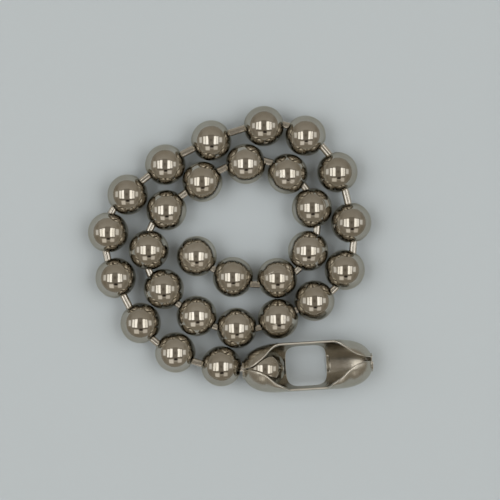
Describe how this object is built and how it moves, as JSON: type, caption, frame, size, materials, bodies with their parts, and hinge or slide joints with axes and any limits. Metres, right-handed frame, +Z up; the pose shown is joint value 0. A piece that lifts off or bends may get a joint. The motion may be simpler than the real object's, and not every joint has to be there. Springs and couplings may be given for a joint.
{
  "type": "ball chain with snap coupling",
  "caption": "Ball chain of hollow steel beads joined by captive dumbbell links, with a folded sheet snap coupling on one end, lying in a flat spiral.",
  "frame": {"origin": "on the table, under the middle of the box that holds the coiled chain", "axes": "+Z up from the table; the coupling's long axis lies within 4 degrees of +X, free socket towards +X"},
  "size_m": [0.0454, 0.0456, 0.0077],
  "materials": {
    "bead_nickel": "bright nickel plate, polished",
    "link_nickel": "bright nickel plate with fine drawing lines along the shaft",
    "coupling_nickel": "satin nickel plate on formed sheet"
  },
  "bodies": {
    "coupling": {"coupling": "coupling_nickel"},
    "bead_01": {"bead_01": "bead_nickel"},
    "bead_02": {"bead_02": "bead_nickel"},
    "bead_03": {"bead_03": "bead_nickel"},
    "bead_04": {"bead_04": "bead_nickel"},
    "bead_05": {"bead_05": "bead_nickel"},
    "bead_06": {"bead_06": "bead_nickel"},
    "bead_07": {"bead_07": "bead_nickel"},
    "bead_08": {"bead_08": "bead_nickel"},
    "bead_09": {"bead_09": "bead_nickel"},
    "bead_10": {"bead_10": "bead_nickel"},
    "bead_11": {"bead_11": "bead_nickel"},
    "bead_12": {"bead_12": "bead_nickel"},
    "bead_13": {"bead_13": "bead_nickel"},
    "bead_14": {"bead_14": "bead_nickel"},
    "bead_15": {"bead_15": "bead_nickel"},
    "bead_16": {"bead_16": "bead_nickel"},
    "bead_17": {"bead_17": "bead_nickel"},
    "bead_18": {"bead_18": "bead_nickel"},
    "bead_19": {"bead_19": "bead_nickel"},
    "bead_20": {"bead_20": "bead_nickel"},
    "bead_21": {"bead_21": "bead_nickel"},
    "bead_22": {"bead_22": "bead_nickel"},
    "bead_23": {"bead_23": "bead_nickel"},
    "bead_24": {"bead_24": "bead_nickel"},
    "bead_25": {"bead_25": "bead_nickel"},
    "bead_26": {"bead_26": "bead_nickel"},
    "bead_27": {"bead_27": "bead_nickel"},
    "bead_28": {"bead_28": "bead_nickel"},
    "bead_29": {"bead_29": "bead_nickel"},
    "link_01": {"link_01": "link_nickel"},
    "link_02": {"link_02": "link_nickel"},
    "link_03": {"link_03": "link_nickel"},
    "link_04": {"link_04": "link_nickel"},
    "link_05": {"link_05": "link_nickel"},
    "link_06": {"link_06": "link_nickel"},
    "link_07": {"link_07": "link_nickel"},
    "link_08": {"link_08": "link_nickel"},
    "link_09": {"link_09": "link_nickel"},
    "link_10": {"link_10": "link_nickel"},
    "link_11": {"link_11": "link_nickel"},
    "link_12": {"link_12": "link_nickel"},
    "link_13": {"link_13": "link_nickel"},
    "link_14": {"link_14": "link_nickel"},
    "link_15": {"link_15": "link_nickel"},
    "link_16": {"link_16": "link_nickel"},
    "link_17": {"link_17": "link_nickel"},
    "link_18": {"link_18": "link_nickel"},
    "link_19": {"link_19": "link_nickel"},
    "link_20": {"link_20": "link_nickel"},
    "link_21": {"link_21": "link_nickel"},
    "link_22": {"link_22": "link_nickel"},
    "link_23": {"link_23": "link_nickel"},
    "link_24": {"link_24": "link_nickel"},
    "link_25": {"link_25": "link_nickel"},
    "link_26": {"link_26": "link_nickel"},
    "link_27": {"link_27": "link_nickel"},
    "link_28": {"link_28": "link_nickel"}
  },
  "joints": [
    {"name": "bead_01_spin", "type": "hinge", "parent": "coupling", "child": "bead_01", "pos_m": [0.0055, -0.01907, 0.00366], "axis": [0.9981, 0.0614, 0], "continuous": true},
    {"name": "link_01_swing", "type": "hinge", "parent": "bead_01", "child": "link_01", "pos_m": [0.00254, -0.01906, 0.00338], "axis": [-0.0043, -1, 0], "range_deg": [-6, 6]},
    {"name": "bead_02_spin", "type": "hinge", "parent": "link_01", "child": "bead_02", "pos_m": [0.00147, -0.01905, 0.00328], "axis": [-0.9955, 0.0043, -0.0942], "continuous": true},
    {"name": "link_02_swing", "type": "hinge", "parent": "bead_02", "child": "link_02", "pos_m": [-0.00444, -0.01838, 0.00307], "axis": [0.2828, 0.9592, 0], "range_deg": [-14, 14]},
    {"name": "bead_03_spin", "type": "hinge", "parent": "link_02", "child": "bead_03", "pos_m": [-0.00617, -0.01787, 0.00317], "axis": [-0.9576, 0.2823, 0.0574], "continuous": true},
    {"name": "link_03_swing", "type": "hinge", "parent": "bead_03", "child": "link_03", "pos_m": [-0.01149, -0.01519, 0.00317], "axis": [0.641, 0.7675, 0], "range_deg": [-20, 20]},
    {"name": "bead_04_spin", "type": "hinge", "parent": "link_03", "child": "bead_04", "pos_m": [-0.01265, -0.01423, 0.00317], "axis": [-0.7675, 0.641, 0], "continuous": true},
    {"name": "link_04_swing", "type": "hinge", "parent": "bead_04", "child": "link_04", "pos_m": [-0.01612, -0.00939, 0.00317], "axis": [-0.8935, -0.4491, 0], "range_deg": [-15, 15]},
    {"name": "bead_05_spin", "type": "hinge", "parent": "link_04", "child": "bead_05", "pos_m": [-0.01716, -0.00732, 0.00317], "axis": [-0.4491, 0.8935, 0], "continuous": true},
    {"name": "link_05_swing", "type": "hinge", "parent": "bead_05", "child": "link_05", "pos_m": [-0.01957, -0.00188, 0.00317], "axis": [-0.9746, -0.2238, 0], "range_deg": [-20, 20]},
    {"name": "bead_06_spin", "type": "hinge", "parent": "link_05", "child": "bead_06", "pos_m": [-0.01994, -0.00028, 0.00317], "axis": [-0.2238, 0.9746, 0], "continuous": true},
    {"name": "link_06_swing", "type": "hinge", "parent": "bead_06", "child": "link_06", "pos_m": [-0.01919, 0.00562, 0.00317], "axis": [0.87, -0.4931, 0], "range_deg": [-14, 14]},
    {"name": "bead_07_spin", "type": "hinge", "parent": "link_06", "child": "bead_07", "pos_m": [-0.0186, 0.00666, 0.00317], "axis": [0.4931, 0.87, 0], "continuous": true},
    {"name": "link_07_swing", "type": "hinge", "parent": "bead_07", "child": "link_07", "pos_m": [-0.01432, 0.01079, 0.00317], "axis": [-0.629, 0.7774, 0], "range_deg": [-22, 22]},
    {"name": "bead_08_spin", "type": "hinge", "parent": "link_07", "child": "bead_08", "pos_m": [-0.01294, 0.01191, 0.00317], "axis": [0.7774, 0.629, 0], "continuous": true},
    {"name": "link_08_swing", "type": "hinge", "parent": "bead_08", "child": "link_08", "pos_m": [-0.00793, 0.01512, 0.00317], "axis": [0.4522, -0.8919, 0], "range_deg": [-16, 16]},
    {"name": "bead_09_spin", "type": "hinge", "parent": "link_08", "child": "bead_09", "pos_m": [-0.00581, 0.01619, 0.00317], "axis": [0.8919, 0.4522, 0], "continuous": true},
    {"name": "link_09_swing", "type": "hinge", "parent": "bead_09", "child": "link_09", "pos_m": [-0.00036, 0.01856, 0.00317], "axis": [-0.2962, 0.9551, 0], "range_deg": [-9, 9]},
    {"name": "bead_10_spin", "type": "hinge", "parent": "link_09", "child": "bead_10", "pos_m": [0.00237, 0.0194, 0.00317], "axis": [0.9551, 0.2962, 0], "continuous": true},
    {"name": "link_10_swing", "type": "hinge", "parent": "bead_10", "child": "link_10", "pos_m": [0.00829, 0.01997, 0.00317], "axis": [-0.2218, -0.9751, 0], "range_deg": [-19, 19]},
    {"name": "bead_11_spin", "type": "hinge", "parent": "link_10", "child": "bead_11", "pos_m": [0.00946, 0.0197, 0.00317], "axis": [0.9751, -0.2218, 0], "continuous": true},
    {"name": "link_11_swing", "type": "hinge", "parent": "bead_11", "child": "link_11", "pos_m": [0.01453, 0.0166, 0.00317], "axis": [0.7591, 0.651, 0], "range_deg": [-11, 11]},
    {"name": "bead_12_spin", "type": "hinge", "parent": "link_11", "child": "bead_12", "pos_m": [0.01588, 0.01503, 0.00317], "axis": [0.651, -0.7591, 0], "continuous": true},
    {"name": "link_12_swing", "type": "hinge", "parent": "bead_12", "child": "link_12", "pos_m": [0.01829, 0.00959, 0.00317], "axis": [-0.9711, -0.2387, 0], "range_deg": [-13, 13]},
    {"name": "bead_13_spin", "type": "hinge", "parent": "link_12", "child": "bead_13", "pos_m": [0.01888, 0.00718, 0.00317], "axis": [0.2387, -0.9711, 0], "continuous": true},
    {"name": "link_13_swing", "type": "hinge", "parent": "bead_13", "child": "link_13", "pos_m": [0.0197, 0.00128, 0.00317], "axis": [0.9964, -0.0847, 0], "range_deg": [-17, 17]},
    {"name": "bead_14_spin", "type": "hinge", "parent": "link_13", "child": "bead_14", "pos_m": [0.01954, -0.00063, 0.00317], "axis": [-0.0847, -0.9964, 0], "continuous": true},
    {"name": "link_14_swing", "type": "hinge", "parent": "bead_14", "child": "link_14", "pos_m": [0.01698, -0.006, 0.00317], "axis": [-0.6881, 0.7256, 0], "range_deg": [-15, 15]},
    {"name": "bead_15_spin", "type": "hinge", "parent": "link_14", "child": "bead_15", "pos_m": [0.01606, -0.00688, 0.00317], "axis": [-0.7256, -0.6881, 0], "range_deg": [-37, 50]},
    {"name": "link_15_swing", "type": "hinge", "parent": "bead_15", "child": "link_15", "pos_m": [0.01077, -0.00962, 0.00317], "axis": [-0.4431, 0.8965, 0], "range_deg": [-16, 16]},
    {"name": "bead_16_spin", "type": "hinge", "parent": "link_15", "child": "bead_16", "pos_m": [0.01029, -0.00986, 0.00317], "axis": [-0.8965, -0.4431, 0], "range_deg": [-34, 34]},
    {"name": "link_16_swing", "type": "hinge", "parent": "bead_16", "child": "link_16", "pos_m": [0.00493, -0.01244, 0.00317], "axis": [-0.2512, 0.9679, 0], "range_deg": [-24, 24]},
    {"name": "bead_17_spin", "type": "hinge", "parent": "link_16", "child": "bead_17", "pos_m": [0.00395, -0.0127, 0.00317], "axis": [0.9679, 0.2512, 0], "range_deg": [-38, 38]},
    {"name": "link_17_swing", "type": "hinge", "parent": "bead_17", "child": "link_17", "pos_m": [-0.00199, -0.01252, 0.00317], "axis": [0.3229, 0.9464, 0], "range_deg": [-22, 22]},
    {"name": "bead_18_spin", "type": "hinge", "parent": "link_17", "child": "bead_18", "pos_m": [-0.00287, -0.01222, 0.00317], "axis": [-0.9464, 0.3229, 0], "range_deg": [-22, 22]},
    {"name": "link_18_swing", "type": "hinge", "parent": "bead_18", "child": "link_18", "pos_m": [-0.00794, -0.00911, 0.00317], "axis": [0.6173, 0.7868, 0], "range_deg": [-25, 25]},
    {"name": "bead_19_spin", "type": "hinge", "parent": "link_18", "child": "bead_19", "pos_m": [-0.00866, -0.00855, 0.00317], "axis": [-0.7868, 0.6173, 0], "range_deg": [-42, 42]},
    {"name": "link_19_swing", "type": "hinge", "parent": "bead_19", "child": "link_19", "pos_m": [-0.01271, -0.00419, 0.00317], "axis": [-0.9281, -0.3723, 0], "range_deg": [-16, 16]},
    {"name": "bead_20_spin", "type": "hinge", "parent": "link_19", "child": "bead_20", "pos_m": [-0.01315, -0.0031, 0.00317], "axis": [-0.3723, 0.9281, 0], "range_deg": [-59, 59]},
    {"name": "link_20_swing", "type": "hinge", "parent": "bead_20", "child": "link_20", "pos_m": [-0.013, 0.00284, 0.00317], "axis": [-0.9069, 0.4214, 0], "range_deg": [-9, 9]},
    {"name": "bead_21_spin", "type": "hinge", "parent": "link_20", "child": "bead_21", "pos_m": [-0.01238, 0.00418, 0.00317], "axis": [-0.4214, -0.9069, 0], "range_deg": [-14, 14]},
    {"name": "link_21_swing", "type": "hinge", "parent": "bead_21", "child": "link_21", "pos_m": [-0.00811, 0.00832, 0.00317], "axis": [-0.5977, 0.8018, 0], "range_deg": [-23, 23]},
    {"name": "bead_22_spin", "type": "hinge", "parent": "link_21", "child": "bead_22", "pos_m": [-0.00699, 0.00916, 0.00317], "axis": [0.8018, 0.5977, 0], "range_deg": [-30, 30]},
    {"name": "link_22_swing", "type": "hinge", "parent": "bead_22", "child": "link_22", "pos_m": [-0.00204, 0.01245, 0.00317], "axis": [-0.4294, 0.9031, 0], "range_deg": [-21, 21]},
    {"name": "bead_23_spin", "type": "hinge", "parent": "link_22", "child": "bead_23", "pos_m": [-0.00053, 0.01316, 0.00317], "axis": [-0.9031, -0.4294, 0], "range_deg": [-44, 44]},
    {"name": "link_23_swing", "type": "hinge", "parent": "bead_23", "child": "link_23", "pos_m": [0.00535, 0.01413, 0.00317], "axis": [-0.2511, -0.968, 0], "range_deg": [-9, 9]},
    {"name": "bead_24_spin", "type": "hinge", "parent": "link_23", "child": "bead_24", "pos_m": [0.00669, 0.01378, 0.00317], "axis": [0.968, -0.2511, 0], "range_deg": [-46, 46]},
    {"name": "link_24_swing", "type": "hinge", "parent": "bead_24", "child": "link_24", "pos_m": [0.01154, 0.01033, 0.00317], "axis": [0.8087, 0.5882, 0], "range_deg": [-19, 19]},
    {"name": "bead_25_spin", "type": "hinge", "parent": "link_24", "child": "bead_25", "pos_m": [0.01219, 0.00943, 0.00317], "axis": [-0.5882, 0.8087, 0], "range_deg": [-64, 64]},
    {"name": "link_25_swing", "type": "hinge", "parent": "bead_25", "child": "link_25", "pos_m": [0.01385, 0.00372, 0.00317], "axis": [-0.9955, 0.0948, 0], "range_deg": [-14, 14]},
    {"name": "bead_26_spin", "type": "hinge", "parent": "link_25", "child": "bead_26", "pos_m": [0.01372, 0.00242, 0.00317], "axis": [-0.0948, -0.9955, 0], "range_deg": [-34, 34]},
    {"name": "link_26_swing", "type": "hinge", "parent": "bead_26", "child": "link_26", "pos_m": [0.0111, -0.00292, 0.00317], "axis": [0.6698, -0.7425, 0], "range_deg": [-16, 16]},
    {"name": "bead_27_spin", "type": "hinge", "parent": "link_26", "child": "bead_27", "pos_m": [0.01027, -0.00367, 0.00317], "axis": [-0.7425, -0.6698, 0], "range_deg": [-20, 20]},
    {"name": "link_27_swing", "type": "hinge", "parent": "bead_27", "child": "link_27", "pos_m": [0.00465, -0.00563, 0.00317], "axis": [-0.0432, -0.9991, 0], "range_deg": [-12, 12]},
    {"name": "bead_28_spin", "type": "hinge", "parent": "link_27", "child": "bead_28", "pos_m": [0.00314, -0.00556, 0.00317], "axis": [0.9991, -0.0432, 0], "range_deg": [-90, 90]},
    {"name": "link_28_swing", "type": "hinge", "parent": "bead_28", "child": "link_28", "pos_m": [-0.00238, -0.00334, 0.00317], "axis": [0.5076, 0.8616, 0], "range_deg": [-20, 20]},
    {"name": "bead_29_slide", "type": "slide", "parent": "link_28", "child": "bead_29", "axis": [-0.8616, 0.5076, 0], "range_m": [-0.0001, 0.001]}
  ]
}
